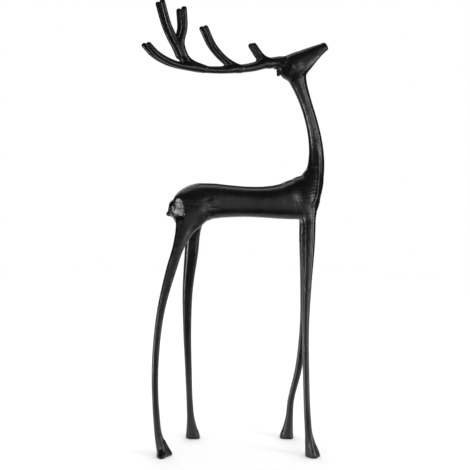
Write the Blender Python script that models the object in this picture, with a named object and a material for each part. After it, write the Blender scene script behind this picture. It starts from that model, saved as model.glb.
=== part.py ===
"""A standing stag figurine, moulded in one piece in satin black plastic.

The body is one soft skin over a set of limbs. Each limb is a smooth tube through a few stations, and
every station gives a place and the size of the section there. The tubes are blended where they meet, the
skin is laid on the blend, and a level cut makes the four flat soles.

The floor is at z = 0, the nose points along +X and the left side is +Y. The places and depths in the
stations are the pose: they are shares of the figurine's own height, in units of HEIGHT / POSE_UNITS. The
sizes across the figurine are lengths of their own.
"""

import math
from collections import namedtuple

import bmesh
import bpy
import numpy as np

# Driving sizes of the figurine, metres
HEIGHT = 0.457  # floor to the highest antler point
POSE_UNITS = 457  # parts that the height is divided into for the stations
BACK_WIDTH = 0.032  # across the barrel
CHEST_WIDTH = 0.029
NECK_WIDTH = 0.012
HEAD_WIDTH = 0.019  # across the brow
MUZZLE_WIDTH = 0.0086
LEG_WIDTH = 0.0068  # across a cannon bone
EAR_LENGTH = 0.017
EAR_THICKNESS = 0.0034
HEAD_TURN = math.radians(3.5)  # the stag looks a little to its left
TURN_CENTRE = (62.0, 0.0)  # the top of the neck seen from above, a place of the pose

# Hooves, metres
HOOF_LENGTH = 0.0156
HOOF_WIDTH = 0.0130  # across the middle
HOOF_TOE = 0.22  # share by which the toes are wider than that
HOOF_HEIGHT = 0.040  # from the sole to where the flare begins
SOLE_DEPTH = 0.006  # how far the leg tubes run on below the floor
CLEFT_WIDTH = 0.0018
CLEFT_DEPTH = 0.0030
CLEFT_RUN = 0.0136  # how far up the hoof it goes

# The flat behind each haunch, metres
FLAT_LENGTH = 0.0125  # at its foot
FLAT_POINT = 0.32  # its length at the top, as a share of that
FLAT_HEIGHT = 0.012  # between the middles of the cutter's two ends
FLAT_CUTTER = 0.008  # thickness of what cuts it
FLAT_TURN = math.radians(30)  # away from the flank

# Antlers, metres: half the distance between the two sides
ANTLER_ROOT = 0.006
ANTLER_SPREAD = 0.033  # at the rear points of the beams

# Where the tubes melt into each other, metres
BODY_BLEND = 0.009
NECK_BLEND = 0.0028
HEAD_BLEND = 0.0036
LEG_BLEND = 0.007
TAIL_BLEND = 0.004
TINE_BLEND = 0.0032
EAR_BLEND = 0.002
CREASE_BLEND = 0.0008
FLAT_BLEND = 0.0026
SOLE_BLEND = 0.0020
TOE_BLEND = 0.0022

# Skin, metres
GRID = 0.0019  # spacing of the grid that finds the skin
FACES = 9400  # triangles kept in the finished skin
BLOCK = 4  # grid steps in one coarse step, by which far points are passed over
REACH = 1.2  # coarse steps from the skin within which every grid point is worked out
TUBE_STEP = 0.003  # length of one straight stretch of a tube
JOINT_CAP = 0.35  # how far a stretch bulges over its joint with the next, as a share of its thickness
SOLE_TRIM = 0.0002  # skin left below the floor, taken off by the level cut
NEARBY = 0.0096  # how far outside a tube and its blend its distance is still worked out
FAR = 1.0  # distance given to points out of a tube's reach
COLUMNS = 7  # values in a station: x, y, z, depth, width, turn, toe

COLOUR = (0.012, 0.012, 0.013, 1.0)
ROUGHNESS = 0.38


def posed(*shares):
    """Lengths for shares of the height, given in pose units."""
    return tuple(HEIGHT / POSE_UNITS * share for share in shares)


def smooth_stations(stations, step=TUBE_STEP):
    """Rows on a smooth curve through the stations, a step apart or closer where the depth changes fast."""
    rows = np.array([tuple(row) + (0.0,) * (COLUMNS - len(row)) for row in stations])
    chord = np.linalg.norm(np.diff(rows[:, :3], axis=0), axis=1)
    slope = np.diff(rows, axis=0) / chord[:, None]
    tangent = np.vstack([slope[:1], slope[-1:]]) if len(rows) == 2 else np.empty_like(rows)
    if len(rows) > 2:
        before, after = chord[:-1, None], chord[1:, None]
        tangent[1:-1] = (after * slope[:-1] + before * slope[1:]) / (before + after)
        tangent[0] = slope[0]
        tangent[-1] = slope[-1]
    pieces = [rows[:1]]
    growth = 2 * np.abs(np.diff(rows[:, 3]))
    for i, length in enumerate(chord):
        count = max(1, round(max(length, growth[i]) / step))
        t = (np.arange(1, count + 1) / count)[:, None]
        pieces.append(
            (2 * t**3 - 3 * t**2 + 1) * rows[i]
            + (t**3 - 2 * t**2 + t) * length * tangent[i]
            + (3 * t**2 - 2 * t**3) * rows[i + 1]
            + (t**3 - t**2) * length * tangent[i + 1]
        )
    return np.vstack(pieces)


class Limb:
    """A tube through stations (x, y, z, depth, width, turn, toe).

    Width is taken across the stag and depth square to it. Turn is the angle by which the section is turned
    about the vertical, and toe is the share by which its front is wider than its middle.
    """

    def __init__(self, stations, squareness=2.0, blend=BODY_BLEND, step=TUBE_STEP):
        self.rows = smooth_stations(stations, step)
        self.squareness = squareness
        self.blend = blend
        self.margin = blend + NEARBY
        reach = self.rows[:, 3:5].max(axis=1, keepdims=True) / 2 + self.margin
        self.low = (self.rows[:, :3] - reach).min(axis=0)
        self.high = (self.rows[:, :3] + reach).max(axis=0)

    def distance(self, points):
        """About how far each point is outside the tube, negative within it."""
        nearest = np.full(len(points), FAR)
        stretches = len(self.rows) - 1
        for i, (start, end) in enumerate(zip(self.rows[:-1], self.rows[1:])):
            middle = (start[:3] + end[:3]) / 2
            reach = np.abs(end[:3] - start[:3]) / 2 + max(*start[3:5], *end[3:5]) / 2 + self.margin
            close = np.flatnonzero((np.abs(points - middle) < reach).all(axis=1))
            caps = (1.0 if i == 0 else JOINT_CAP, 1.0 if i == stretches - 1 else JOINT_CAP)
            distance = self.stretch_distance(points[close], start, end, caps)
            nearest[close] = np.minimum(nearest[close], distance)
        return nearest

    def stretch_distance(self, points, start, end, caps):
        """The same for the straight stretch between two rows, with its two caps longer or flatter."""
        n = self.squareness
        along = end[:3] - start[:3]
        length = np.linalg.norm(along)
        ahead = along / length
        turn = (start[5] + end[5]) / 2
        side = np.array([-math.sin(turn), math.cos(turn), 0.0])
        side -= ahead * (side @ ahead)
        side /= np.linalg.norm(side)
        front = np.cross(ahead, side)
        offset = points - start[:3]
        t = offset @ ahead / length
        cap = np.where(t < 0.5, *caps)
        t = np.clip(t, 0.0, 1.0)
        offset = offset - t[:, None] * along
        half = (start[3:5] + t[:, None] * (end[3:5] - start[3:5])) / 2
        forward = offset @ front
        half[:, 1] *= 1 + (start[6] + end[6]) / 2 * np.clip(forward / half[:, 0], -1.0, 1.0)
        sizes = np.stack([half[:, 0], half[:, 1], cap * half.min(axis=1)])
        parts = np.abs(np.stack([forward, offset @ side, offset @ ahead])) / sizes
        ratio = np.maximum((parts**n).sum(axis=0), 1e-12) ** (1 / n)
        steepness = np.sqrt(((parts ** (n - 1) / sizes) ** 2).sum(axis=0)) * ratio ** (1 - n)
        return (ratio - 1) / np.maximum(steepness, 1e-9)


def soft_union(a, b, blend):
    """The smaller of two distances, rounded over where they are nearly equal."""
    overlap = np.maximum(blend - np.abs(a - b), 0.0) / blend
    return np.minimum(a, b) - overlap**2 * blend / 4


def on_head(stations):
    """Stations (x, y, z, depth, width) carried round by the turn of the head."""
    cx, cy = posed(*TURN_CENTRE)
    c, s = math.cos(HEAD_TURN), math.sin(HEAD_TURN)
    return [
        (cx + (x - cx) * c - (y - cy) * s, cy + (x - cx) * s + (y - cy) * c, z, depth, width, HEAD_TURN)
        for x, y, z, depth, width in stations
    ]


def barrel():
    """The trunk from the rump to the shoulders."""
    outline = (  # x, height of the back, height of the belly, width as a share of the barrel's
        (-56.0, 261.4, 243.0, 0.72),
        (-50.8, 268.8, 241.0, 0.92),
        (-41.0, 274.8, 239.0, 1.00),
        (-26.0, 275.8, 240.6, 1.00),
        (-6.0, 273.8, 241.9, 0.96),
        (14.0, 272.1, 242.0, 0.94),
        (32.0, 272.2, 240.9, 0.98),
        (48.0, 274.6, 239.6, 1.00),
        (60.0, 278.7, 239.6, 0.98),
        (67.6, 281.8, 245.0, 0.84),
    )
    stations = [
        (*posed(x, 0, (back + belly) / 2, back - belly), width * BACK_WIDTH)
        for x, back, belly, width in outline
    ]
    return Limb(stations, squareness=3.2)


def tail():
    """A short tail that ends in a small point."""
    outline = ((-55.0, 247.0, 31.0, 0.40), (-62.6, 247.4, 13.0, 0.30), (-67.4, 245.4, 4.4, 0.16))
    stations = [(*posed(x, 0, z, depth), width * BACK_WIDTH) for x, z, depth, width in outline]
    return Limb(stations, blend=TAIL_BLEND)


def neck():
    """The breast and the long neck, leaning back to the poll."""
    breast = (
        (69.6, 247.0, 17.0, 0.80),
        (74.6, 264.0, 24.0, 1.00),
        (78.6, 279.0, 23.6, 0.80),
        (81.6, 288.0, 18.2, 0.65),
    )
    throat = (
        (82.6, 300.0, 15.8, 1.27),
        (81.2, 319.0, 13.5, 1.00),
        (76.7, 339.5, 12.1, 0.94),
        (70.4, 359.0, 12.4, 0.98),
        (64.2, 376.0, 16.2, 1.10),
        (60.4, 387.0, 21.8, 1.20),
    )
    stations = [(*posed(x, 0, z, depth), width * CHEST_WIDTH) for x, z, depth, width in breast]
    stations += [(*posed(x, 0, z, depth), width * NECK_WIDTH) for x, z, depth, width in throat]
    return Limb(stations, squareness=2.3, blend=NECK_BLEND)


def head():
    """A wedge from the brow to the blunt muzzle, held up and forward."""
    outline = (  # x, z, depth, share of the way from the muzzle's width to the brow's
        (52.8, 391.8, 23.0, 0.89),
        (64.6, 395.8, 24.0, 1.00),
        (72.6, 401.2, 19.2, 0.63),
        (80.7, 406.6, 13.8, 0.27),
        (88.7, 411.4, 9.2, 0.00),
    )
    stations = [
        (*posed(x, 0, z, depth), MUZZLE_WIDTH + (HEAD_WIDTH - MUZZLE_WIDTH) * share)
        for x, z, depth, share in outline
    ]
    return Limb(on_head(stations), squareness=3.0, blend=HEAD_BLEND, step=TUBE_STEP / 2)


def ear(side):
    """A short leaf laid back and down beside the antler."""
    outline = (  # x, y, z, width of the leaf as a share of its length, thickness as a share
        (51.0, 7.0, 396.5, 0.64, 1.3),
        (48.8, 14.0, 391.0, 0.62, 1.0),
        (46.2, 19.5, 383.8, 0.16, 0.7),
    )
    stations = [
        (*posed(x, side * y, z), wide * EAR_LENGTH, thick * EAR_THICKNESS)
        for x, y, z, wide, thick in outline
    ]
    return Limb(on_head(stations), blend=EAR_BLEND)


def spread(share):
    """Half the gap between the antlers, from their roots (0) to the rear points (1)."""
    return ANTLER_ROOT + (ANTLER_SPREAD - ANTLER_ROOT) * share


def antler(side):
    """One antler: the beam swept back, a brow tine, a long tine and a forked tine."""
    beam = (  # x, z, share of the spread, thickness
        (45.0, 397.0, 0.00, 11.6),
        (31.0, 395.8, 0.05, 9.6),
        (17.0, 392.2, 0.13, 8.2),
        (0.0, 390.2, 0.26, 7.4),
        (-24.0, 389.6, 0.46, 6.9),
        (-46.0, 392.0, 0.62, 6.8),
        (-66.0, 397.0, 0.80, 6.4),
        (-80.0, 405.2, 0.94, 5.9),
        (-88.0, 413.6, 1.00, 5.4),
    )
    brow_tine = ((33.0, 396.0, 0.04, 8.4), (25.2, 402.0, 0.08, 7.0), (17.2, 413.0, 0.11, 5.8))
    long_tine = (
        (2.0, 391.0, 0.24, 6.8),
        (-11.0, 399.4, 0.32, 5.4),
        (-22.8, 412.4, 0.37, 5.1),
        (-31.4, 430.0, 0.40, 5.2),
    )
    fork_rear = (
        (-35.0, 391.4, 0.52, 6.6),
        (-48.6, 398.4, 0.60, 6.6),
        (-57.2, 411.0, 0.67, 6.3),
        (-67.0, 430.0, 0.74, 5.3),
        (-74.2, 454.4, 0.80, 5.1),
    )
    fork_front = (
        (-54.2, 404.0, 0.65, 6.0),
        (-55.8, 416.0, 0.68, 6.0),
        (-52.8, 430.0, 0.71, 5.6),
        (-53.4, 447.6, 0.74, 5.5),
    )
    limbs = []
    for tine in (beam, brow_tine, long_tine, fork_rear, fork_front):
        stations = []
        for x, z, share, thick in tine:
            x, z, thick = posed(x, z, thick)
            stations.append((x, side * spread(share), z, thick, thick))
        limbs.append(Limb(on_head(stations), squareness=2.4, blend=TINE_BLEND))
    return limbs


Foot = namedtuple("Foot", "x y turn size")
RIGHT_HIND = Foot(-75.0, -22.2, math.radians(-33), 0.84)
LEFT_HIND = Foot(-42.5, 34.0, 0.0, 1.0)
LEFT_FORE = Foot(57.0, 25.5, 0.0, 0.95)
RIGHT_FORE = Foot(76.0, -37.0, math.radians(-33), 0.97)
FEET = (LEFT_HIND, LEFT_FORE, RIGHT_FORE)

# The right hind hoof is split into two toes: x, y, shares of the hoof's length and width, turn
SPLIT_TOES = (
    (-77.5, -25.9, 1.12, 0.72, math.radians(-86)),
    (-70.2, -18.4, 0.78, 0.66, math.radians(-70)),
)


def leg(thigh, shank, foot):
    """A leg from its thigh (x, y, z, depth, width) and shank (x, y, z, depth) to the middle of its sole."""
    stations = [posed(*row) for row in thigh]
    stations += [posed(x, y, z, depth, 0.96 * depth) for x, y, z, depth in shank]
    x, y, z, depth, width = stations.pop()
    stations.append((x, y, z, depth, LEG_WIDTH))
    sole_x, sole_y = posed(foot.x, foot.y)
    # Shares down the hoof: its height, its step forward and its growth to full size
    flare = ((0.56, 0.28, 0.14), (0.28, 0.62, 0.50), (0.0, 1.0, 1.0))
    for height, step, growth in flare:
        stations.append((
            x + (sole_x - x) * step,
            y + (sole_y - y) * step,
            HOOF_HEIGHT * height,
            depth + (HOOF_LENGTH * foot.size - depth) * growth,
            LEG_WIDTH + (HOOF_WIDTH * foot.size - LEG_WIDTH) * growth,
            foot.turn * min(1.0, 2 * growth),
            HOOF_TOE * growth,
        ))
    length, width = HOOF_LENGTH * foot.size, HOOF_WIDTH * foot.size
    stations.append((sole_x, sole_y, -SOLE_DEPTH, length, width, foot.turn, HOOF_TOE))
    return Limb(stations, squareness=2.8, blend=LEG_BLEND)


def split_toes():
    """The two toes of the right hind hoof, set out from inside the pastern."""
    limbs = []
    foot_x, foot_y = posed(RIGHT_HIND.x, RIGHT_HIND.y)
    for x, y, length, width, turn in SPLIT_TOES:
        x, y = posed(x, y)
        length, width = length * HOOF_LENGTH, width * HOOF_WIDTH
        top = (foot_x + 0.2 * (x - foot_x), foot_y + 0.2 * (y - foot_y), 0.36 * HOOF_HEIGHT)
        limbs.append(Limb([
            (*top, 0.2 * length, 0.3 * width, turn),
            ((x + top[0]) / 2, (y + top[1]) / 2, 0.16 * HOOF_HEIGHT, 0.56 * length, 0.7 * width, turn),
            (x, y, 0.0, length, width, turn),
            (x, y, -SOLE_DEPTH, length, width, turn),
        ], squareness=2.2, blend=TOE_BLEND))
    return limbs


def legs():
    """Two forelegs and two hind legs in a slow walk."""
    return [
        leg(  # right hind, stretched back
            thigh=(
                (-44.0, -8.0, 258.0, 32.0, 14.0),
                (-45.0, -9.8, 246.0, 32.0, 15.4),
                (-50.8, -12.6, 233.0, 20.0, 12.8),
            ),
            shank=((-56.6, -14.8, 218.0, 12.6), (-65.8, -17.0, 190.0, 10.2), (-76.4, -19.6, 149.0, 7.8),
                   (-81.8, -22.2, 106.0, 7.0), (-81.9, -24.0, 44.0, 6.8)),
            foot=RIGHT_HIND,
        ),
        leg(  # left hind, under the body
            thigh=(
                (-40.0, 8.0, 258.0, 30.0, 14.0),
                (-40.2, 10.4, 244.0, 22.0, 15.0),
                (-41.6, 13.4, 228.0, 15.4, 12.8),
            ),
            shank=((-43.6, 16.4, 204.0, 14.0), (-47.6, 20.6, 163.0, 10.8), (-48.2, 24.2, 120.0, 8.5),
                   (-47.0, 28.2, 76.0, 7.1), (-45.7, 31.4, 38.0, 6.8)),
            foot=LEFT_HIND,
        ),
        leg(  # left fore, drawn back
            thigh=(
                (68.5, 3.0, 272.0, 12.0, 8.0),
                (72.0, 7.3, 256.0, 18.0, 13.0),
                (73.2, 10.0, 242.0, 13.6, 13.0),
            ),
            shank=((73.6, 13.2, 216.0, 12.0), (74.2, 16.6, 170.0, 9.7), (73.4, 19.8, 120.0, 7.8),
                   (68.9, 22.4, 76.0, 7.2), (61.0, 24.8, 38.0, 6.8)),
            foot=LEFT_FORE,
        ),
        leg(  # right fore, upright
            thigh=(
                (69.0, -3.0, 273.0, 12.0, 8.0),
                (72.8, -7.3, 257.0, 18.0, 13.0),
                (74.0, -10.6, 241.0, 13.8, 13.0),
            ),
            shank=((73.7, -14.6, 218.0, 12.2), (71.8, -19.8, 178.0, 8.9), (69.8, -25.0, 136.0, 6.9),
                   (69.8, -30.6, 84.0, 6.5), (71.0, -35.4, 40.0, 6.8)),
            foot=RIGHT_FORE,
        ),
    ]


def cleft(foot):
    """The groove up the front of a hoof, between its two toes."""
    ahead = np.array([math.cos(foot.turn), math.sin(foot.turn)])
    sole = np.array(posed(foot.x, foot.y))
    front = HOOF_LENGTH * foot.size / 2 * ahead
    x, y = sole + front
    top_x, top_y = sole + front - 1.2 * CLEFT_DEPTH * ahead
    return Limb([
        (x, y, -SOLE_DEPTH, 2 * CLEFT_DEPTH, CLEFT_WIDTH, foot.turn),
        (top_x, top_y, CLEFT_RUN, CLEFT_DEPTH, CLEFT_WIDTH / 2, foot.turn),
    ], blend=CREASE_BLEND)


def haunch_flat(side):
    """The cutter whose inner face leaves the flat behind a haunch."""
    x, y, z = posed(-57.8, side * 14.0, 247.4)
    x -= FLAT_CUTTER / 2 * math.sin(FLAT_TURN)
    y += side * FLAT_CUTTER / 2 * math.cos(FLAT_TURN)
    foot = (x, y, z, FLAT_LENGTH, FLAT_CUTTER, side * FLAT_TURN)
    point = (x, y, z + FLAT_HEIGHT, FLAT_POINT * FLAT_LENGTH, FLAT_CUTTER, side * FLAT_TURN)
    return Limb([foot, point], squareness=5.0, blend=FLAT_BLEND, step=TUBE_STEP / 2)


def carving():
    """Everything that is cut into the skin."""
    return [cleft(foot) for foot in FEET] + [haunch_flat(1), haunch_flat(-1)]


def skin_distance(points, limbs, grooves):
    """Distance to the blended skin with the grooves cut in."""
    value = np.full(len(points), FAR)
    for limb in limbs:
        near = ((points > limb.low) & (points < limb.high)).all(axis=1)
        if near.any():
            value[near] = soft_union(value[near], limb.distance(points[near]), limb.blend)
    for groove in grooves:
        near = ((points > groove.low) & (points < groove.high)).all(axis=1)
        if near.any():
            value[near] = -soft_union(-value[near], groove.distance(points[near]), groove.blend)
    return -soft_union(-value, points[:, 2] + SOLE_TRIM, SOLE_BLEND)


def lattice(low, spacing, counts):
    """Points of a grid, as rows."""
    return low + spacing * np.stack(np.indices(counts), axis=-1).reshape(-1, 3)


def without_pinches(inside):
    """The lattice of inside points, filled where the skin would meet itself at only an edge or a corner."""
    cubes = [inside[i:len(inside) - 1 + i, j:inside.shape[1] - 1 + j, k:inside.shape[2] - 1 + k]
             for i, j, k in np.ndindex(2, 2, 2)]
    pinched = True
    while pinched:
        pinched = False
        filled = sum(cube.astype(int) for cube in cubes)
        for corner in range(4):
            one, other = cubes[corner], cubes[7 - corner]
            touch = ((filled == 2) & one & other) | ((filled == 6) & ~one & ~other)
            pinched |= bool(touch.any())
            for cube in cubes:
                cube[touch] = True
        for axis in range(3):
            face = np.moveaxis(inside, axis, 0)
            squares = [face[:, i:face.shape[1] - 1 + i, j:face.shape[2] - 1 + j] for i, j in np.ndindex(2, 2)]
            touch = (squares[0] == squares[3]) & (squares[1] == squares[2]) & (squares[0] != squares[1])
            pinched |= bool(touch.any())
            for square in squares:
                square[touch] = True
    return inside


def lay_skin(limbs, grooves, grid):
    """Vertices and quads of the skin: one vertex in each grid cell that the skin crosses."""
    low = np.min([limb.low for limb in limbs], axis=0)
    high = np.max([limb.high for limb in limbs], axis=0)
    blocks = np.ceil((high - low) / (grid * BLOCK)).astype(int)
    value = skin_distance(lattice(low, grid * BLOCK, blocks + 1), limbs, grooves).reshape(blocks + 1)
    counts = blocks * BLOCK + 1
    nearest = [(np.arange(count) + BLOCK // 2) // BLOCK for count in counts]
    value = value[np.ix_(*nearest)]
    close = np.argwhere(np.abs(value) < REACH * BLOCK * grid)
    value[tuple(close.T)] = skin_distance(low + grid * close, limbs, grooves)
    inside = without_pinches(value < 0)
    cells = counts - 1
    filled = np.zeros(cells, dtype=int)
    for i, j, k in np.ndindex(2, 2, 2):
        filled += inside[i:i + cells[0], j:j + cells[1], k:k + cells[2]]
    crossed = (filled > 0) & (filled < 8)
    number = np.full(cells, -1)
    number[crossed] = np.arange(crossed.sum())
    centres = np.argwhere(crossed)
    vertices = low + grid * (centres + 0.5)
    quads = []
    for axis in range(3):
        a, b = [k for k in range(3) if k != axis]
        ahead = np.moveaxis(inside, (axis, a, b), (0, 1, 2))
        index = np.moveaxis(number, (axis, a, b), (0, 1, 2))
        change = ahead[:-1, 1:-1, 1:-1] != ahead[1:, 1:-1, 1:-1]
        i, j, k = np.argwhere(change).T
        corners = ((0, 0), (1, 0), (1, 1), (0, 1))
        ring = np.stack([index[i, j + across, k + up] for across, up in corners], axis=1)
        flip = ahead[i, j + 1, k + 1] == (axis == 1)
        ring[flip] = ring[flip, ::-1]
        quads.append(ring)
    return vertices, np.vstack(quads)


def settle(vertices, limbs, grooves, rounds=3):
    """Vertices moved onto the skin along its slope."""
    nudge = GRID / 40
    for _ in range(rounds):
        here = skin_distance(vertices, limbs, grooves)
        ahead = [skin_distance(vertices + step, limbs, grooves) for step in nudge * np.eye(3)]
        slope = (np.stack(ahead, axis=1) - here[:, None]) / nudge
        move = here / np.maximum((slope**2).sum(axis=1), 0.2)
        vertices = vertices - np.clip(move, -GRID / 2, GRID / 2)[:, None] * slope
    return vertices


def relax(vertices, quads):
    """Vertices moved part of the way to the middle of their neighbours, for even faces."""
    total = np.zeros_like(vertices)
    count = np.zeros(len(vertices))
    for shift in range(4):
        here, there = quads[:, shift], quads[:, (shift + 1) % 4]
        np.add.at(total, here, vertices[there])
        np.add.at(total, there, vertices[here])
        np.add.at(count, here, 1)
        np.add.at(count, there, 1)
    return vertices + 0.5 * (total / count[:, None] - vertices)


def plastic():
    """Satin black plastic."""
    material = bpy.data.materials.new("satin_black_plastic")
    material.use_nodes = True
    shader = material.node_tree.nodes["Principled BSDF"]
    shader.inputs["Base Color"].default_value = COLOUR
    shader.inputs["Roughness"].default_value = ROUGHNESS
    shader.inputs["Metallic"].default_value = 0.0
    material.diffuse_color = COLOUR
    return material


def thinned(mesh, faces):
    """The mesh with no more triangles than asked for, flat stretches thinned first."""
    stand_in = bpy.data.objects.new("skin", mesh)
    bpy.context.scene.collection.objects.link(stand_in)
    triangles = sum(len(polygon.vertices) - 2 for polygon in mesh.polygons)
    decimate = stand_in.modifiers.new("thin", "DECIMATE")
    decimate.ratio = min(1.0, faces / triangles)
    depsgraph = bpy.context.evaluated_depsgraph_get()
    result = bpy.data.meshes.new_from_object(stand_in.evaluated_get(depsgraph))
    bpy.data.objects.remove(stand_in)
    return result


def cut_soles(mesh):
    """The mesh cut level at the floor, with the cuts closed into flat soles."""
    body = bmesh.new()
    body.from_mesh(mesh)
    geometry = body.verts[:] + body.edges[:] + body.faces[:]
    cut = bmesh.ops.bisect_plane(
        body, geom=geometry, dist=1e-7, plane_co=(0, 0, 0), plane_no=(0, 0, -1), clear_outer=True
    )
    rim = [item for item in cut["geom_cut"] if isinstance(item, bmesh.types.BMEdge)]
    bmesh.ops.holes_fill(body, edges=rim, sides=0)
    bmesh.ops.recalc_face_normals(body, faces=body.faces[:])
    for face in body.faces:
        face.smooth = abs(face.normal.z + 1.0) > 1e-4
    body.to_mesh(mesh)
    body.free()
    return mesh


def build_deer():
    """The whole figurine, standing on the floor with its footprint centred on the origin."""
    limbs = [barrel(), tail(), neck(), *legs(), *split_toes(), head()]
    limbs += [*antler(1), *antler(-1), ear(1), ear(-1)]
    grooves = carving()
    vertices, quads = lay_skin(limbs, grooves, GRID)
    vertices = settle(vertices, limbs, grooves)
    vertices = settle(relax(vertices, quads), limbs, grooves, rounds=2)
    mesh = bpy.data.meshes.new("deer")
    mesh.from_pydata(vertices.tolist(), [], quads.tolist())
    mesh = cut_soles(thinned(mesh, FACES))
    mesh.name = "deer"
    places = np.empty(len(mesh.vertices) * 3)
    mesh.vertices.foreach_get("co", places)
    places = places.reshape(-1, 3)
    places[:, :2] -= (places[:, :2].min(axis=0) + places[:, :2].max(axis=0)) / 2
    mesh.vertices.foreach_set("co", places.ravel())
    mesh.update()
    deer = bpy.data.objects.new("deer", mesh)
    bpy.context.scene.collection.objects.link(deer)
    mesh.materials.clear()
    mesh.materials.append(plastic())
    return deer


def clear_scene():
    for item in list(bpy.data.objects):
        bpy.data.objects.remove(item)


clear_scene()
build_deer()
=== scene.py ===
"""The stag figurine as photographed: satin black skin, white sweep, soft studio light and the camera."""

import math
from collections import namedtuple

import bmesh
import bpy
import numpy as np
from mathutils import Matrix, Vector


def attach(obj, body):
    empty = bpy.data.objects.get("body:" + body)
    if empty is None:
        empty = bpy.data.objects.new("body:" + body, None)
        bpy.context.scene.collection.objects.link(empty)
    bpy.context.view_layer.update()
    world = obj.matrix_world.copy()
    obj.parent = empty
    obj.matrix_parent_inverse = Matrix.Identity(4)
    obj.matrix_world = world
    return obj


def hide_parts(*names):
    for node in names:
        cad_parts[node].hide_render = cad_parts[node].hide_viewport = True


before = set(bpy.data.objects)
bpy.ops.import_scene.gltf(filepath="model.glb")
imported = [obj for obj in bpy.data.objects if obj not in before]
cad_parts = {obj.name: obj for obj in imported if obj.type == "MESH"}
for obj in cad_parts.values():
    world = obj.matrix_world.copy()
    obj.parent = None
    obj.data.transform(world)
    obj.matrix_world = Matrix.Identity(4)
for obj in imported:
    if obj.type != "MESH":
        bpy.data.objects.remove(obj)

# Driving sizes of the figurine, metres
HEIGHT = 0.457  # floor to the highest antler point
POSE_UNITS = 457  # parts that the height is divided into for the stations
BACK_WIDTH = 0.032  # across the barrel
CHEST_WIDTH = 0.029
NECK_WIDTH = 0.012
HEAD_WIDTH = 0.019  # across the brow
MUZZLE_WIDTH = 0.0086
LEG_WIDTH = 0.0068  # across a cannon bone
EAR_LENGTH = 0.017
EAR_THICKNESS = 0.0034
HEAD_TURN = math.radians(3.5)  # the stag looks a little to its left
TURN_CENTRE = (62.0, 0.0)  # the top of the neck seen from above, a place of the pose

# Hooves, metres
HOOF_LENGTH = 0.0156
HOOF_WIDTH = 0.0130  # across the middle
HOOF_TOE = 0.22  # share by which the toes are wider than that
HOOF_HEIGHT = 0.040  # from the sole to where the flare begins
SOLE_DEPTH = 0.006  # how far the leg tubes run on below the floor
CLEFT_WIDTH = 0.0018
CLEFT_DEPTH = 0.0030
CLEFT_RUN = 0.0136  # how far up the hoof it goes

# The flat behind each haunch, metres
FLAT_LENGTH = 0.0125  # at its foot
FLAT_POINT = 0.32  # its length at the top, as a share of that
FLAT_HEIGHT = 0.012  # between the middles of the cutter's two ends
FLAT_CUTTER = 0.008  # thickness of what cuts it
FLAT_TURN = math.radians(30)  # away from the flank

# Antlers, metres: half the distance between the two sides
ANTLER_ROOT = 0.006
ANTLER_SPREAD = 0.033  # at the rear points of the beams

# Where the tubes melt into each other, metres
BODY_BLEND = 0.009
NECK_BLEND = 0.0028
HEAD_BLEND = 0.0036
LEG_BLEND = 0.007
TAIL_BLEND = 0.004
TINE_BLEND = 0.0032
EAR_BLEND = 0.002
CREASE_BLEND = 0.0008
FLAT_BLEND = 0.0026
SOLE_BLEND = 0.0020
TOE_BLEND = 0.0022

# Skin, metres
GRID = 0.0010  # spacing of the grid that finds the skin
BLOCK = 4  # grid steps in one coarse step, by which far points are passed over
REACH = 1.2  # coarse steps from the skin within which every grid point is worked out
TUBE_STEP = 0.003  # length of one straight stretch of a tube
JOINT_CAP = 0.35  # how far a stretch bulges over its joint with the next, as a share of its thickness
SOLE_TRIM = 0.0002  # skin left below the floor, taken off by the level cut
NEARBY = 0.0049  # how far outside a tube and its blend its distance is still worked out
FAR = 1.0  # distance given to points out of a tube's reach
COLUMNS = 7  # values in a station: x, y, z, depth, width, turn, toe

# Fine relief, metres
RIDGE = 0.0013  # thickness of a low ridge
RIDGE_SINK = 0.00025  # how far its middle line lies under the skin
RIDGE_BLEND = 0.0011
PROBE = 0.0002  # step by which the skin is looked for from the side
LUMP_BLEND = 0.0007
EAR_RIM = 0.0014  # thickness of the ear's raised rim

# The lumps where an antler leaves the brow, in pose units
BURR_RINGS = ((41.0, 395.6, 4.4), (44.8, 395.8, 4.8), (48.4, 395.6, 5.0))  # x, z and radius of each ring
BURR_LUMPS = 9  # in a ring
BURR_SIZE = 2.0  # thickness of a lump
BURR_UNEVEN = 0.16  # share by which lumps are larger and smaller than that
BURR_LEAN = (0.9, 0.0, 0.5)  # from a lump's middle to its upper end

# Smoothing of the fine skin
EVEN_ROUNDS = 4  # passes that take out the ripples finer than about two grid steps
EVEN_IN = 0.50
EVEN_OUT = 0.53

# Satin black coat: patterns per metre, colours, shares and bump depths in metres
MOTTLE = 55.0
GRAIN = 900.0
PEBBLES = 620.0
WAVES = 120.0
DEEP_BLACK = (0.0020, 0.0020, 0.0022, 1.0)
RUBBED_BLACK = (0.0050, 0.0050, 0.0053, 1.0)
SMOOTHEST = 0.25  # roughness in the deep spots
ROUGHEST = 0.35  # roughness in the rubbed ones
GRAIN_ROUGHNESS = 0.03  # what the grain adds or takes away
COAT_IOR = 1.5
COAT_SHINE = 0.5
DULL_SHINE = 0.36  # on the head and the antlers
DULL_FROM = 0.360  # heights between which the coat gets duller
DULL_TO = 0.385
LEATHER_STRENGTH = 0.04
LEATHER_DEPTH = 0.00025
WAVE_STRENGTH = 0.30
WAVE_DEPTH = 0.0012

# Studio, metres
SURROUND = 0.02  # brightness around the stag, which the camera itself sees as white
FLOOR_RADIUS = 0.62
FLOOR_MIDDLE = 0.48  # behind the stag
FLOOR_SIDES = 96
PAPER = (0.92, 0.92, 0.92, 1.0)
WHITE = (1.0, 1.0, 1.0, 1.0)

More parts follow.
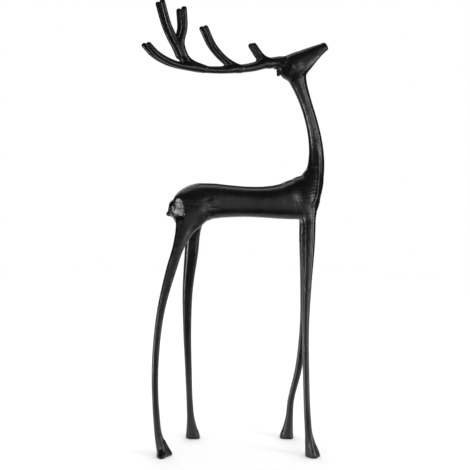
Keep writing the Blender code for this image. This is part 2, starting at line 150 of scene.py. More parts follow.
# Lamps: places and targets in metres, width and height in metres, power in watts
Lamp = namedtuple("Lamp", "name place target width height watts")
FLOOR_WASH = Lamp("floor_wash", (0.0, 0.4, 2.4), (0.0, 0.4, 0.0), 5.0, 5.0, 125.0)
LAMPS = (
    Lamp("front_board", (-0.1, -1.7, 0.03), (0.0, 0.0, 0.25), 2.2, 0.42, 2.0),
    Lamp("overhead", (-0.1, 0.50, 1.5), (0.0, 0.0, 0.2), 1.1, 1.1, 5.4),
    Lamp("left_softbox", (-1.20, -0.68, -0.06), (0.0, 0.0, 0.25), 0.34, 0.38, 9.2),
    Lamp("right_softbox", (1.10, -0.74, 0.26), (0.05, 0.0, 0.25), 0.22, 1.0, 7.0),
    Lamp("shoulder_board", (0.60, -1.20, 0.29), (0.07, 0.0, 0.25), 0.34, 0.26, 2.6),
    Lamp("neck_board", (-0.72, -1.07, 0.02), (0.07, 0.0, 0.34), 0.20, 0.22, 0.9),
    Lamp("back_board", (-0.38, 1.4, 0.72), (0.0, 0.0, 0.25), 0.7, 0.4, 1.2),
    Lamp("low_board", (0.40, -0.36, 0.04), (-0.04, 0.0, 0.23), 0.26, 0.12, 0.18),
)

# Camera, solved from the photograph: metres, radians and pixels of the photograph
FRAME_OFFSET = (0.000508, -0.002020)  # the middle of the footprint, in the stations' own frame
EYE_DISTANCE = 1.2
EYE_HEIGHT = 0.4
AZIMUTH = math.radians(-4.5)
PITCH = math.radians(8.38)
FOCAL = 1193.7
PHOTO_SIDE = 470
SENSOR = 36.0  # millimetres
NEAREST = 0.05
FARTHEST = 20.0


def posed(*shares):
    """Lengths for shares of the height, given in pose units."""
    return tuple(HEIGHT / POSE_UNITS * share for share in shares)


def smooth_stations(stations, step=TUBE_STEP):
    """Rows on a smooth curve through the stations, a step apart or closer where the depth changes fast."""
    rows = np.array([tuple(row) + (0.0,) * (COLUMNS - len(row)) for row in stations])
    chord = np.linalg.norm(np.diff(rows[:, :3], axis=0), axis=1)
    slope = np.diff(rows, axis=0) / chord[:, None]
    tangent = np.vstack([slope[:1], slope[-1:]]) if len(rows) == 2 else np.empty_like(rows)
    if len(rows) > 2:
        before, after = chord[:-1, None], chord[1:, None]
        tangent[1:-1] = (after * slope[:-1] + before * slope[1:]) / (before + after)
        tangent[0] = slope[0]
        tangent[-1] = slope[-1]
    pieces = [rows[:1]]
    growth = 2 * np.abs(np.diff(rows[:, 3]))
    for i, length in enumerate(chord):
        count = max(1, round(max(length, growth[i]) / step))
        t = (np.arange(1, count + 1) / count)[:, None]
        pieces.append(
            (2 * t**3 - 3 * t**2 + 1) * rows[i]
            + (t**3 - 2 * t**2 + t) * length * tangent[i]
            + (3 * t**2 - 2 * t**3) * rows[i + 1]
            + (t**3 - t**2) * length * tangent[i + 1]
        )
    return np.vstack(pieces)


class Limb:
    """A tube through stations (x, y, z, depth, width, turn, toe).

    Width is taken across the stag and depth square to it. Turn is the angle by which the section is turned
    about the vertical, and toe is the share by which its front is wider than its middle.
    """

    def __init__(self, stations, squareness=2.0, blend=BODY_BLEND, step=TUBE_STEP):
        self.rows = smooth_stations(stations, step)
        self.squareness = squareness
        self.blend = blend
        self.margin = blend + NEARBY
        reach = self.rows[:, 3:5].max(axis=1, keepdims=True) / 2 + self.margin
        self.low = (self.rows[:, :3] - reach).min(axis=0)
        self.high = (self.rows[:, :3] + reach).max(axis=0)

    def distance(self, points):
        """About how far each point is outside the tube, negative within it."""
        nearest = np.full(len(points), FAR)
        stretches = len(self.rows) - 1
        for i, (start, end) in enumerate(zip(self.rows[:-1], self.rows[1:])):
            middle = (start[:3] + end[:3]) / 2
            reach = np.abs(end[:3] - start[:3]) / 2 + max(*start[3:5], *end[3:5]) / 2 + self.margin
            close = np.flatnonzero((np.abs(points - middle) < reach).all(axis=1))
            caps = (1.0 if i == 0 else JOINT_CAP, 1.0 if i == stretches - 1 else JOINT_CAP)
            distance = self.stretch_distance(points[close], start, end, caps)
            nearest[close] = np.minimum(nearest[close], distance)
        return nearest

    def stretch_distance(self, points, start, end, caps):
        """The same for the straight stretch between two rows, with its two caps longer or flatter."""
        n = self.squareness
        along = end[:3] - start[:3]
        length = np.linalg.norm(along)
        ahead = along / length
        turn = (start[5] + end[5]) / 2
        side = np.array([-math.sin(turn), math.cos(turn), 0.0])
        side -= ahead * (side @ ahead)
        side /= np.linalg.norm(side)
        front = np.cross(ahead, side)
        offset = points - start[:3]
        t = offset @ ahead / length
        cap = np.where(t < 0.5, *caps)
        t = np.clip(t, 0.0, 1.0)
        offset = offset - t[:, None] * along
        half = (start[3:5] + t[:, None] * (end[3:5] - start[3:5])) / 2
        forward = offset @ front
        half[:, 1] *= 1 + (start[6] + end[6]) / 2 * np.clip(forward / half[:, 0], -1.0, 1.0)
        sizes = np.stack([half[:, 0], half[:, 1], cap * half.min(axis=1)])
        parts = np.abs(np.stack([forward, offset @ side, offset @ ahead])) / sizes
        ratio = np.maximum((parts**n).sum(axis=0), 1e-12) ** (1 / n)
        steepness = np.sqrt(((parts ** (n - 1) / sizes) ** 2).sum(axis=0)) * ratio ** (1 - n)
        return (ratio - 1) / np.maximum(steepness, 1e-9)


def soft_union(a, b, blend):
    """The smaller of two distances, rounded over where they are nearly equal."""
    overlap = np.maximum(blend - np.abs(a - b), 0.0) / blend
    return np.minimum(a, b) - overlap**2 * blend / 4


def on_head(stations):
    """Stations (x, y, z, depth, width) carried round by the turn of the head."""
    cx, cy = posed(*TURN_CENTRE)
    c, s = math.cos(HEAD_TURN), math.sin(HEAD_TURN)
    return [
        (cx + (x - cx) * c - (y - cy) * s, cy + (x - cx) * s + (y - cy) * c, z, depth, width, HEAD_TURN)
        for x, y, z, depth, width in stations
    ]


def barrel():
    """The trunk from the rump to the shoulders."""
    outline = (  # x, height of the back, height of the belly, width as a share of the barrel's
        (-56.0, 261.4, 243.0, 0.72),
        (-50.8, 268.8, 241.0, 0.92),
        (-41.0, 274.8, 239.0, 1.00),
        (-26.0, 275.8, 240.6, 1.00),
        (-6.0, 273.8, 241.9, 0.96),
        (14.0, 272.1, 242.0, 0.94),
        (32.0, 272.2, 240.9, 0.98),
        (48.0, 274.6, 239.6, 1.00),
        (60.0, 278.7, 239.6, 0.98),
        (67.6, 281.8, 245.0, 0.84),
    )
    stations = [
        (*posed(x, 0, (back + belly) / 2, back - belly), width * BACK_WIDTH)
        for x, back, belly, width in outline
    ]
    return Limb(stations, squareness=3.2)


def tail():
    """A short tail that ends in a small point."""
    outline = ((-55.0, 247.0, 31.0, 0.40), (-62.6, 247.4, 13.0, 0.30), (-67.4, 245.4, 4.4, 0.16))
    stations = [(*posed(x, 0, z, depth), width * BACK_WIDTH) for x, z, depth, width in outline]
    return Limb(stations, blend=TAIL_BLEND)


def neck():
    """The breast and the long neck, leaning back to the poll."""
    breast = (
        (69.6, 247.0, 17.0, 0.80),
        (74.6, 264.0, 24.0, 1.00),
        (78.6, 279.0, 23.6, 0.80),
        (81.6, 288.0, 18.2, 0.65),
    )
    throat = (
        (82.6, 300.0, 15.8, 1.27),
        (81.2, 319.0, 13.5, 1.00),
        (76.7, 339.5, 12.1, 0.94),
        (70.4, 359.0, 12.4, 0.98),
        (64.2, 376.0, 16.2, 1.10),
        (60.4, 387.0, 21.8, 1.20),
    )
    stations = [(*posed(x, 0, z, depth), width * CHEST_WIDTH) for x, z, depth, width in breast]
    stations += [(*posed(x, 0, z, depth), width * NECK_WIDTH) for x, z, depth, width in throat]
    return Limb(stations, squareness=2.3, blend=NECK_BLEND)


def head():
    """A wedge from the brow to the blunt muzzle, held up and forward."""
    outline = (  # x, z, depth, share of the way from the muzzle's width to the brow's
        (52.8, 391.8, 23.0, 0.89),
        (64.6, 395.8, 24.0, 1.00),
        (72.6, 401.2, 19.2, 0.63),
        (80.7, 406.6, 13.8, 0.27),
        (88.7, 411.4, 9.2, 0.00),
    )
    stations = [
        (*posed(x, 0, z, depth), MUZZLE_WIDTH + (HEAD_WIDTH - MUZZLE_WIDTH) * share)
        for x, z, depth, share in outline
    ]
    return Limb(on_head(stations), squareness=3.0, blend=HEAD_BLEND, step=TUBE_STEP / 2)


def ear(side):
    """A short leaf laid back and down beside the antler."""
    outline = (  # x, y, z, width of the leaf as a share of its length, thickness as a share
        (51.0, 7.0, 396.5, 0.64, 1.3),
        (48.8, 14.0, 391.0, 0.62, 1.0),
        (46.2, 19.5, 383.8, 0.16, 0.7),
    )
    stations = [
        (*posed(x, side * y, z), wide * EAR_LENGTH, thick * EAR_THICKNESS)
        for x, y, z, wide, thick in outline
    ]
    return Limb(on_head(stations), blend=EAR_BLEND)


def spread(share):
    """Half the gap between the antlers, from their roots (0) to the rear points (1)."""
    return ANTLER_ROOT + (ANTLER_SPREAD - ANTLER_ROOT) * share


def antler(side):
    """One antler: the beam swept back, a brow tine, a long tine and a forked tine."""
    beam = (  # x, z, share of the spread, thickness
        (45.0, 397.0, 0.00, 11.6),
        (31.0, 395.8, 0.05, 9.6),
        (17.0, 392.2, 0.13, 8.2),
        (0.0, 390.2, 0.26, 7.4),
        (-24.0, 389.6, 0.46, 6.9),
        (-46.0, 392.0, 0.62, 6.8),
        (-66.0, 397.0, 0.80, 6.4),
        (-80.0, 405.2, 0.94, 5.9),
        (-88.0, 413.6, 1.00, 5.4),
    )
    brow_tine = ((33.0, 396.0, 0.04, 8.4), (25.2, 402.0, 0.08, 7.0), (17.2, 413.0, 0.11, 5.8))
    long_tine = (
        (2.0, 391.0, 0.24, 6.8),
        (-11.0, 399.4, 0.32, 5.4),
        (-22.8, 412.4, 0.37, 5.1),
        (-31.4, 430.0, 0.40, 5.2),
    )
    fork_rear = (
        (-35.0, 391.4, 0.52, 6.6),
        (-48.6, 398.4, 0.60, 6.6),
        (-57.2, 411.0, 0.67, 6.3),
        (-67.0, 430.0, 0.74, 5.3),
        (-74.2, 454.4, 0.80, 5.1),
    )
    fork_front = (
        (-54.2, 404.0, 0.65, 6.0),
        (-55.8, 416.0, 0.68, 6.0),
        (-52.8, 430.0, 0.71, 5.6),
        (-53.4, 447.6, 0.74, 5.5),
    )
    limbs = []
    for tine in (beam, brow_tine, long_tine, fork_rear, fork_front):
        stations = []
        for x, z, share, thick in tine:
            x, z, thick = posed(x, z, thick)
            stations.append((x, side * spread(share), z, thick, thick))
        limbs.append(Limb(on_head(stations), squareness=2.4, blend=TINE_BLEND))
    return limbs


Foot = namedtuple("Foot", "x y turn size")
RIGHT_HIND = Foot(-75.0, -22.2, math.radians(-33), 0.84)
LEFT_HIND = Foot(-42.5, 34.0, 0.0, 1.0)
LEFT_FORE = Foot(57.0, 25.5, 0.0, 0.95)
RIGHT_FORE = Foot(76.0, -37.0, math.radians(-33), 0.97)
FEET = (LEFT_HIND, LEFT_FORE, RIGHT_FORE)

# The right hind hoof is split into two toes: x, y, shares of the hoof's length and width, turn
SPLIT_TOES = (
    (-77.5, -25.9, 1.12, 0.72, math.radians(-86)),
    (-70.2, -18.4, 0.78, 0.66, math.radians(-70)),
)


def leg(thigh, shank, foot):
    """A leg from its thigh (x, y, z, depth, width) and shank (x, y, z, depth) to the middle of its sole."""
    stations = [posed(*row) for row in thigh]
    stations += [posed(x, y, z, depth, 0.96 * depth) for x, y, z, depth in shank]
    x, y, z, depth, width = stations.pop()
    stations.append((x, y, z, depth, LEG_WIDTH))
    sole_x, sole_y = posed(foot.x, foot.y)
    # Shares down the hoof: its height, its step forward and its growth to full size
    flare = ((0.56, 0.28, 0.14), (0.28, 0.62, 0.50), (0.0, 1.0, 1.0))
    for height, step, growth in flare:
        stations.append((
            x + (sole_x - x) * step,
            y + (sole_y - y) * step,
            HOOF_HEIGHT * height,
            depth + (HOOF_LENGTH * foot.size - depth) * growth,
            LEG_WIDTH + (HOOF_WIDTH * foot.size - LEG_WIDTH) * growth,
            foot.turn * min(1.0, 2 * growth),
            HOOF_TOE * growth,
        ))
    length, width = HOOF_LENGTH * foot.size, HOOF_WIDTH * foot.size
    stations.append((sole_x, sole_y, -SOLE_DEPTH, length, width, foot.turn, HOOF_TOE))
    return Limb(stations, squareness=2.8, blend=LEG_BLEND)


def split_toes():
    """The two toes of the right hind hoof, set out from inside the pastern."""
    limbs = []
    foot_x, foot_y = posed(RIGHT_HIND.x, RIGHT_HIND.y)
    for x, y, length, width, turn in SPLIT_TOES:
        x, y = posed(x, y)
        length, width = length * HOOF_LENGTH, width * HOOF_WIDTH
        top = (foot_x + 0.2 * (x - foot_x), foot_y + 0.2 * (y - foot_y), 0.36 * HOOF_HEIGHT)
        limbs.append(Limb([
            (*top, 0.2 * length, 0.3 * width, turn),
            ((x + top[0]) / 2, (y + top[1]) / 2, 0.16 * HOOF_HEIGHT, 0.56 * length, 0.7 * width, turn),
            (x, y, 0.0, length, width, turn),
            (x, y, -SOLE_DEPTH, length, width, turn),
        ], squareness=2.2, blend=TOE_BLEND))
    return limbs


def legs():
    """Two forelegs and two hind legs in a slow walk."""
    return [
        leg(  # right hind, stretched back
            thigh=(
                (-44.0, -8.0, 258.0, 32.0, 14.0),
                (-45.0, -9.8, 246.0, 32.0, 15.4),
                (-50.8, -12.6, 233.0, 20.0, 12.8),
            ),
            shank=((-56.6, -14.8, 218.0, 12.6), (-65.8, -17.0, 190.0, 10.2), (-76.4, -19.6, 149.0, 7.8),
                   (-81.8, -22.2, 106.0, 7.0), (-81.9, -24.0, 44.0, 6.8)),
            foot=RIGHT_HIND,
        ),
        leg(  # left hind, under the body
            thigh=(
                (-40.0, 8.0, 258.0, 30.0, 14.0),
                (-40.2, 10.4, 244.0, 22.0, 15.0),
                (-41.6, 13.4, 228.0, 15.4, 12.8),
            ),
            shank=((-43.6, 16.4, 204.0, 14.0), (-47.6, 20.6, 163.0, 10.8), (-48.2, 24.2, 120.0, 8.5),
                   (-47.0, 28.2, 76.0, 7.1), (-45.7, 31.4, 38.0, 6.8)),
            foot=LEFT_HIND,
        ),
        leg(  # left fore, drawn back
            thigh=(
                (68.5, 3.0, 272.0, 12.0, 8.0),
                (72.0, 7.3, 256.0, 18.0, 13.0),
                (73.2, 10.0, 242.0, 13.6, 13.0),
            ),
            shank=((73.6, 13.2, 216.0, 12.0), (74.2, 16.6, 170.0, 9.7), (73.4, 19.8, 120.0, 7.8),
                   (68.9, 22.4, 76.0, 7.2), (61.0, 24.8, 38.0, 6.8)),
            foot=LEFT_FORE,
        ),
        leg(  # right fore, upright
            thigh=(
                (69.0, -3.0, 273.0, 12.0, 8.0),
                (72.8, -7.3, 257.0, 18.0, 13.0),
                (74.0, -10.6, 241.0, 13.8, 13.0),
            ),
            shank=((73.7, -14.6, 218.0, 12.2), (71.8, -19.8, 178.0, 8.9), (69.8, -25.0, 136.0, 6.9),
                   (69.8, -30.6, 84.0, 6.5), (71.0, -35.4, 40.0, 6.8)),
            foot=RIGHT_FORE,
        ),
    ]


def cleft(foot):
    """The groove up the front of a hoof, between its two toes."""
    ahead = np.array([math.cos(foot.turn), math.sin(foot.turn)])
    sole = np.array(posed(foot.x, foot.y))
    front = HOOF_LENGTH * foot.size / 2 * ahead
    x, y = sole + front
    top_x, top_y = sole + front - 1.2 * CLEFT_DEPTH * ahead
    return Limb([
        (x, y, -SOLE_DEPTH, 2 * CLEFT_DEPTH, CLEFT_WIDTH, foot.turn),
        (top_x, top_y, CLEFT_RUN, CLEFT_DEPTH, CLEFT_WIDTH / 2, foot.turn),
    ], blend=CREASE_BLEND)


def haunch_flat(side):
    """The cutter whose inner face leaves the flat behind a haunch."""
    x, y, z = posed(-57.8, side * 14.0, 247.4)
    x -= FLAT_CUTTER / 2 * math.sin(FLAT_TURN)
    y += side * FLAT_CUTTER / 2 * math.cos(FLAT_TURN)
    foot = (x, y, z, FLAT_LENGTH, FLAT_CUTTER, side * FLAT_TURN)
    point = (x, y, z + FLAT_HEIGHT, FLAT_POINT * FLAT_LENGTH, FLAT_CUTTER, side * FLAT_TURN)
    return Limb([foot, point], squareness=5.0, blend=FLAT_BLEND, step=TUBE_STEP / 2)


def carving():
    """Everything that is cut into the skin."""
    return [cleft(foot) for foot in FEET] + [haunch_flat(1), haunch_flat(-1)]


def skin_distance(points, limbs, grooves):
    """Distance to the blended skin with the grooves cut in."""
    value = np.full(len(points), FAR)
    for limb in limbs:
        near = ((points > limb.low) & (points < limb.high)).all(axis=1)
        if near.any():
            value[near] = soft_union(value[near], limb.distance(points[near]), limb.blend)
    for groove in grooves:
        near = ((points > groove.low) & (points < groove.high)).all(axis=1)
        if near.any():
            value[near] = -soft_union(-value[near], groove.distance(points[near]), groove.blend)
    return -soft_union(-value, points[:, 2] + SOLE_TRIM, SOLE_BLEND)


def lattice(low, spacing, counts):
    """Points of a grid, as rows."""
    return low + spacing * np.stack(np.indices(counts), axis=-1).reshape(-1, 3)


def without_pinches(inside):
    """The lattice of inside points, filled where the skin would meet itself at only an edge or a corner."""
    cubes = [inside[i:len(inside) - 1 + i, j:inside.shape[1] - 1 + j, k:inside.shape[2] - 1 + k]
             for i, j, k in np.ndindex(2, 2, 2)]
    pinched = True
    while pinched:
        pinched = False
        filled = sum(cube.astype(int) for cube in cubes)
        for corner in range(4):
            one, other = cubes[corner], cubes[7 - corner]
            touch = ((filled == 2) & one & other) | ((filled == 6) & ~one & ~other)
            pinched |= bool(touch.any())
            for cube in cubes:
                cube[touch] = True
        for axis in range(3):
            face = np.moveaxis(inside, axis, 0)
            squares = [
                face[:, i:face.shape[1] - 1 + i, j:face.shape[2] - 1 + j] for i, j in np.ndindex(2, 2)
            ]
            touch = (squares[0] == squares[3]) & (squares[1] == squares[2]) & (squares[0] != squares[1])
            pinched |= bool(touch.any())
            for square in squares:
                square[touch] = True
    return inside


def lay_skin(limbs, grooves, grid):
    """Vertices and quads of the skin: one vertex in each grid cell that the skin crosses."""
    low = np.min([limb.low for limb in limbs], axis=0)
    high = np.max([limb.high for limb in limbs], axis=0)
    blocks = np.ceil((high - low) / (grid * BLOCK)).astype(int)
    value = skin_distance(lattice(low, grid * BLOCK, blocks + 1), limbs, grooves).reshape(blocks + 1)
    counts = blocks * BLOCK + 1
    nearest = [(np.arange(count) + BLOCK // 2) // BLOCK for count in counts]
    value = value[np.ix_(*nearest)]
    close = np.argwhere(np.abs(value) < REACH * BLOCK * grid)
    value[tuple(close.T)] = skin_distance(low + grid * close, limbs, grooves)
    inside = without_pinches(value < 0)
    cells = counts - 1
    filled = np.zeros(cells, dtype=int)
    for i, j, k in np.ndindex(2, 2, 2):
        filled += inside[i:i + cells[0], j:j + cells[1], k:k + cells[2]]
    crossed = (filled > 0) & (filled < 8)
    number = np.full(cells, -1)
    number[crossed] = np.arange(crossed.sum())
    centres = np.argwhere(crossed)
    vertices = low + grid * (centres + 0.5)
    quads = []
    for axis in range(3):
        a, b = [k for k in range(3) if k != axis]
        ahead = np.moveaxis(inside, (axis, a, b), (0, 1, 2))
        index = np.moveaxis(number, (axis, a, b), (0, 1, 2))
        change = ahead[:-1, 1:-1, 1:-1] != ahead[1:, 1:-1, 1:-1]
        i, j, k = np.argwhere(change).T
        corners = ((0, 0), (1, 0), (1, 1), (0, 1))
        ring = np.stack([index[i, j + across, k + up] for across, up in corners], axis=1)
        flip = ahead[i, j + 1, k + 1] == (axis == 1)
        ring[flip] = ring[flip, ::-1]
        quads.append(ring)
    return vertices, np.vstack(quads)


def settle(vertices, limbs, grooves, rounds=3):
    """Vertices moved onto the skin along its slope."""
    nudge = GRID / 40
    for _ in range(rounds):
        here = skin_distance(vertices, limbs, grooves)
        ahead = [skin_distance(vertices + step, limbs, grooves) for step in nudge * np.eye(3)]
        slope = (np.stack(ahead, axis=1) - here[:, None]) / nudge
        move = here / np.maximum((slope**2).sum(axis=1), 0.2)
        vertices = vertices - np.clip(move, -GRID / 2, GRID / 2)[:, None] * slope
    return vertices


def relax(vertices, quads):
    """Vertices moved part of the way to the middle of their neighbours, for even faces."""
    total = np.zeros_like(vertices)
    count = np.zeros(len(vertices))
    for shift in range(4):
        here, there = quads[:, shift], quads[:, (shift + 1) % 4]
        np.add.at(total, here, vertices[there])
        np.add.at(total, there, vertices[here])
        np.add.at(count, here, 1)
        np.add.at(count, there, 1)
    return vertices + 0.5 * (total / count[:, None] - vertices)


def on_skin(x, z, side, limbs, sink):
    """The place on the skin seen from one side at x and z, sunk into it a little."""
    across = np.arange(0.0, CHEST_WIDTH, PROBE)
    line = np.stack([np.full_like(across, x), side * across, np.full_like(across, z)], axis=1)
    outermost = np.flatnonzero(skin_distance(line, limbs, []) < 0).max()
    return x, side * (across[outermost] - sink), z


def ridge(places, side, limbs, thick=RIDGE, blend=RIDGE_BLEND):
    """A low ridge on the skin, through places (x, z, share of its thickness) seen from one side."""
    stations = []
    for x, z, share in places:
        x, z = posed(x, z)
        stations.append((*on_skin(x, z, side, limbs, RIDGE_SINK), share * thick, share * thick))
    return Limb(stations, blend=blend, step=TUBE_STEP / 2)


def neck_edges(side, limbs):
    """The two long edges down the neck and the fold where it meets the breast."""
    upper = ((70.2, 357.0, 0.5), (73.0, 350.0, 0.8), (77.0, 336.0, 0.9), (80.0, 323.0, 0.6))
    lower = (
        (79.6, 330.0, 0.6),
        (81.6, 317.0, 1.1),
        (83.9, 303.0, 1.2),
        (84.3, 290.0, 1.4),
        (83.2, 276.0, 1.7),
        (80.6, 262.0, 2.1),
        (77.6, 254.0, 1.4),
    )
    fold = ((76.6, 293.6, 0.6), (79.4, 293.0, 0.9), (82.2, 294.4, 0.6))
    return [ridge(edge, side, limbs) for edge in (upper, lower, fold)]


def face_edges(side, limbs):
    """The jaw's edge, the brow's and the rim of the ear."""
    jaw = ((72.2, 388.8, 0.4), (76.8, 394.0, 0.7), (83.5, 401.9, 0.7), (88.4, 407.2, 0.5))
    brow = ((50.0, 398.6, 0.6), (54.0, 402.0, 0.9), (60.0, 404.6, 0.8), (66.0, 406.6, 0.5))
    rim = [
        (*posed(x, side * y, z), EAR_RIM, EAR_RIM)
        for x, y, z in ((55.0, 8.0, 395.0), (53.8, 13.0, 390.2), (50.2, 17.2, 385.4), (46.4, 19.6, 383.2))
    ]
    return [ridge(edge, side, limbs) for edge in (jaw, brow)] + [Limb(on_head(rim), blend=LUMP_BLEND)]


def burr(side):
    """The rough rings of small lumps where an antler leaves the brow."""
    lumps = []
    lean = posed(*BURR_LEAN)
    for ring, (x, z, radius) in enumerate(BURR_RINGS):
        for k in range(BURR_LUMPS):
            angle = math.tau * (k + 0.5 * (ring % 2)) / BURR_LUMPS
            share = 1 + BURR_UNEVEN * math.sin(2.4 * k + 1.7 * ring)
            height = z + radius * share * math.sin(angle)
            x_lump, z_lump, reach, size = posed(x, height, radius * share, BURR_SIZE * share)
            y_lump = side * ANTLER_ROOT + reach * math.cos(angle)
            middle = np.array((x_lump, y_lump, z_lump))
            ends = [(*(middle - lean), size, size), (*(middle + lean), size, size)]
            lumps.append(Limb(on_head(ends), blend=LUMP_BLEND))
    return lumps


def relief(limbs):
    """The fine relief on both sides."""
    forms = []
    for side in (1, -1):
        forms += neck_edges(side, limbs) + face_edges(side, limbs) + burr(side)
    return forms


def evened(vertices, quads):
    """The skin without its finest ripples and as thick as before: each pass in is followed by one out."""
    links = np.vstack([quads[:, [k, (k + 1) % 4]] for k in range(4)])
    here, there = links.T
    size = len(vertices)
    count = np.maximum(np.bincount(here, minlength=size), 1)
    for _ in range(EVEN_ROUNDS):
        for share in (EVEN_IN, -EVEN_OUT):
            sums = [np.bincount(here, weights=vertices[there, axis], minlength=size) for axis in range(3)]
            mean = np.stack([total / count for total in sums], axis=1)
            vertices = vertices + share * (mean - vertices)
    return vertices


def skin_object(limbs, grooves):
    """The stag's skin at a fine grid, settled on the same rules as the solid."""
    vertices, quads = lay_skin(limbs, grooves, GRID)
    vertices = settle(vertices, limbs, grooves, 2)
    vertices = settle(relax(vertices, quads), limbs, grooves, 1)
    vertices = evened(vertices, quads)
    vertices[:, 2] = np.maximum(vertices[:, 2], 0.0)
    vertices -= (*FRAME_OFFSET, 0.0)
    mesh = bpy.data.meshes.new("stag_skin")
    mesh.from_pydata(vertices.tolist(), [], quads.tolist())
    body = bmesh.new()
    body.from_mesh(mesh)
    bmesh.ops.recalc_face_normals(body, faces=body.faces[:])
    body.to_mesh(mesh)
    body.free()
    mesh.polygons.foreach_set("use_smooth", [True] * len(mesh.polygons))
    stag = bpy.data.objects.new("stag_skin", mesh)
    bpy.context.scene.collection.objects.link(stag)
    return stag


def satin_black():
    """Moulded black plastic under a satin coat: fine leathery grain, soft mottling and rubbed patches."""
    material = bpy.data.materials.new("satin_black_coat")
    material.use_nodes = True
    nodes, links = material.node_tree.nodes, material.node_tree.links
    shader = nodes["Principled BSDF"]
    shader.inputs["Metallic"].default_value = 0.0
    shader.inputs["IOR"].default_value = COAT_IOR
    place = nodes.new("ShaderNodeTexCoord").outputs["Object"]

    def noise(scale, detail, roughness=0.5):
        node = nodes.new("ShaderNodeTexNoise")
        node.inputs["Scale"].default_value = scale
        node.inputs["Detail"].default_value = detail
        node.inputs["Roughness"].default_value = roughness
        links.new(place, node.inputs["Vector"])
        return node.outputs["Fac"]

    def ramp(source, low, high, first, last):
        node = nodes.new("ShaderNodeMapRange")
        node.inputs["From Min"].default_value = low
        node.inputs["From Max"].default_value = high
        node.inputs["To Min"].default_value = first
        node.inputs["To Max"].default_value = last
        links.new(source, node.inputs["Value"])
        return node.outputs["Result"]

    def added(first, second):
        node = nodes.new("ShaderNodeMath")
        node.operation = "ADD"
        links.new(first, node.inputs[0])
        links.new(second, node.inputs[1])
        return node.outputs["Value"]

    def bump(height, strength, depth, under=None):
        node = nodes.new("ShaderNodeBump")
        node.inputs["Strength"].default_value = strength
        node.inputs["Distance"].default_value = depth
        links.new(height, node.inputs["Height"])
        if under is not None:
            links.new(under, node.inputs["Normal"])
        return node.outputs["Normal"]

    mottle = noise(MOTTLE, 4.0, 0.6)
    grain = noise(GRAIN, 3.0, 0.6)
    cells = nodes.new("ShaderNodeTexVoronoi")
    cells.inputs["Scale"].default_value = PEBBLES
    links.new(place, cells.inputs["Vector"])

    tint = nodes.new("ShaderNodeMix")
    tint.data_type = "RGBA"
    tint.inputs["A"].default_value = DEEP_BLACK
    tint.inputs["B"].default_value = RUBBED_BLACK
    links.new(ramp(mottle, 0.3, 0.7, 0.0, 1.0), tint.inputs["Factor"])
    links.new(tint.outputs["Result"], shader.inputs["Base Color"])

    broad = ramp(mottle, 0.3, 0.7, SMOOTHEST, ROUGHEST)
    fine = ramp(grain, 0.3, 0.7, -GRAIN_ROUGHNESS, GRAIN_ROUGHNESS)
    links.new(added(broad, fine), shader.inputs["Roughness"])

    split = nodes.new("ShaderNodeSeparateXYZ")
    links.new(place, split.inputs["Vector"])
    shine = ramp(split.outputs["Z"], DULL_FROM, DULL_TO, COAT_SHINE, DULL_SHINE)
    links.new(shine, shader.inputs["Specular IOR Level"])

    pebbles = added(ramp(cells.outputs["Distance"], 0.0, 0.6, 0.0, 0.5), ramp(grain, 0.2, 0.8, 0.0, 0.5))
    leather = bump(pebbles, LEATHER_STRENGTH, LEATHER_DEPTH)
    skin = bump(noise(WAVES, 2.0), WAVE_STRENGTH, WAVE_DEPTH, leather)
    links.new(skin, shader.inputs["Normal"])
    return material


def surround():
    """White where the camera looks past the stag, and nearly dark for everything else."""
    world = bpy.data.worlds.new("pale_surround")
    bpy.context.scene.world = world
    world.use_nodes = True
    nodes, links = world.node_tree.nodes, world.node_tree.links
    dim = nodes["Background"]
    dim.inputs["Color"].default_value = WHITE
    dim.inputs["Strength"].default_value = SURROUND
    bright = nodes.new("ShaderNodeBackground")
    bright.inputs["Color"].default_value = WHITE
    bright.inputs["Strength"].default_value = 1.0
    rays = nodes.new("ShaderNodeLightPath")
    mix = nodes.new("ShaderNodeMixShader")
    links.new(rays.outputs["Is Camera Ray"], mix.inputs["Fac"])
    links.new(dim.outputs["Background"], mix.inputs[1])
    links.new(bright.outputs["Background"], mix.inputs[2])
    links.new(mix.outputs["Shader"], nodes["World Output"].inputs["Surface"])


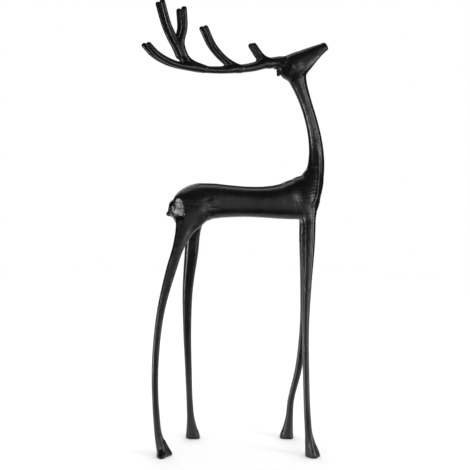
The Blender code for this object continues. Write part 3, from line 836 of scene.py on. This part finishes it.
def white_floor():
    """A round sheet of white paper under the stag and behind it."""
    angles = [math.tau * k / FLOOR_SIDES for k in range(FLOOR_SIDES)]
    ring = [
        (FLOOR_RADIUS * math.cos(angle), FLOOR_MIDDLE + FLOOR_RADIUS * math.sin(angle), 0.0)
        for angle in angles
    ]
    mesh = bpy.data.meshes.new("white_floor")
    mesh.from_pydata(ring, [], [tuple(range(FLOOR_SIDES))])
    floor = bpy.data.objects.new("white_floor", mesh)
    bpy.context.scene.collection.objects.link(floor)
    paper = bpy.data.materials.new("white_paper")
    paper.use_nodes = True
    shader = paper.node_tree.nodes["Principled BSDF"]
    shader.inputs["Base Color"].default_value = PAPER
    shader.inputs["Roughness"].default_value = 0.9
    shader.inputs["Specular IOR Level"].default_value = 0.1
    mesh.materials.append(paper)
    return floor


def light(lamp):
    """One softbox or board, aimed at a point of the figurine."""
    data = bpy.data.lights.new(lamp.name, "AREA")
    data.shape = "RECTANGLE"
    data.size = lamp.width
    data.size_y = lamp.height
    data.energy = lamp.watts
    thing = bpy.data.objects.new(lamp.name, data)
    thing.location = lamp.place
    aim = Vector(lamp.target) - Vector(lamp.place)
    thing.rotation_euler = aim.to_track_quat("-Z", "Y").to_euler()
    bpy.context.scene.collection.objects.link(thing)
    return thing


def camera():
    """The photograph's camera: nearly square to the flank, a little towards the rump, at head height."""
    data = bpy.data.cameras.new("camera")
    data.sensor_width = SENSOR
    data.sensor_fit = "HORIZONTAL"
    data.lens = SENSOR * FOCAL / PHOTO_SIDE
    data.clip_start = NEAREST
    data.clip_end = FARTHEST
    eye = bpy.data.objects.new("camera", data)
    ahead = Vector((-math.sin(AZIMUTH), math.cos(AZIMUTH), 0.0))
    eye.location = -ahead * EYE_DISTANCE + Vector((-FRAME_OFFSET[0], -FRAME_OFFSET[1], EYE_HEIGHT))
    look = ahead * math.cos(PITCH) + Vector((0, 0, -math.sin(PITCH)))
    eye.rotation_euler = look.to_track_quat("-Z", "Y").to_euler()
    bpy.context.scene.collection.objects.link(eye)
    bpy.context.scene.camera = eye


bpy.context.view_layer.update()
limbs = [barrel(), tail(), neck(), *legs(), *split_toes(), head()]
limbs += [*antler(1), *antler(-1), ear(1), ear(-1)]
limbs += relief(limbs)
coat = satin_black()
stag = skin_object(limbs, carving())
stag.data.materials.append(coat)
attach(stag, "root")
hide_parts("deer")
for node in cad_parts.values():
    node.data.materials.clear()
    node.data.materials.append(coat)
surround()
white_floor()
light(FLOOR_WASH).visible_glossy = False  # the plastic doesn't mirror it
for lamp in LAMPS:
    light(lamp)
camera()
bpy.context.scene.view_settings.view_transform = "Standard"
